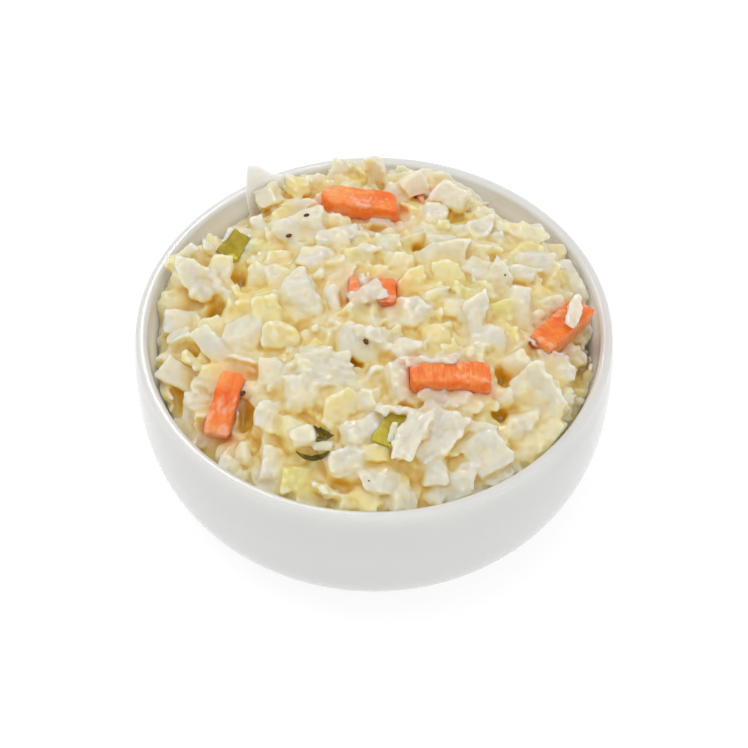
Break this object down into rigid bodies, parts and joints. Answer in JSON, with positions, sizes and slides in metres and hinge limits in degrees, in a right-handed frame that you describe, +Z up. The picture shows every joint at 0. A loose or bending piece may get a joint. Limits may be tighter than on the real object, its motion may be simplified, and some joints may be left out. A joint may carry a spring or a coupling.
{
  "type": "bowl of coleslaw",
  "caption": "Small round white porcelain bowl heaped with creamy chopped coleslaw, with carrot bars, green chips and a herb leaf on top.",
  "frame": {"origin": "on the table, under the centre of the bowl", "axes": "+Z up along the bowl's axis; the picture's camera looks from -Y, with +X to its right"},
  "size_m": [0.109, 0.109, 0.0556],
  "materials": {
    "porcelain": "gloss",
    "slaw": "gloss",
    "cabbage": "gloss",
    "carrot": "gloss",
    "pepper": "gloss",
    "relish": "gloss",
    "herb": "satin"
  },
  "bodies": {
    "root": {"bowl": "porcelain", "slaw": "slaw", "cabbage_slab": "cabbage", "carrot_back": "carrot", "carrot_centre": "carrot", "carrot_front": "carrot", "carrot_left": "carrot", "carrot_right": "carrot", "carrot_far": "carrot", "pepper_chip": "pepper", "relish_chip": "relish", "herb_leaf": "herb"}
  },
  "joints": []
}
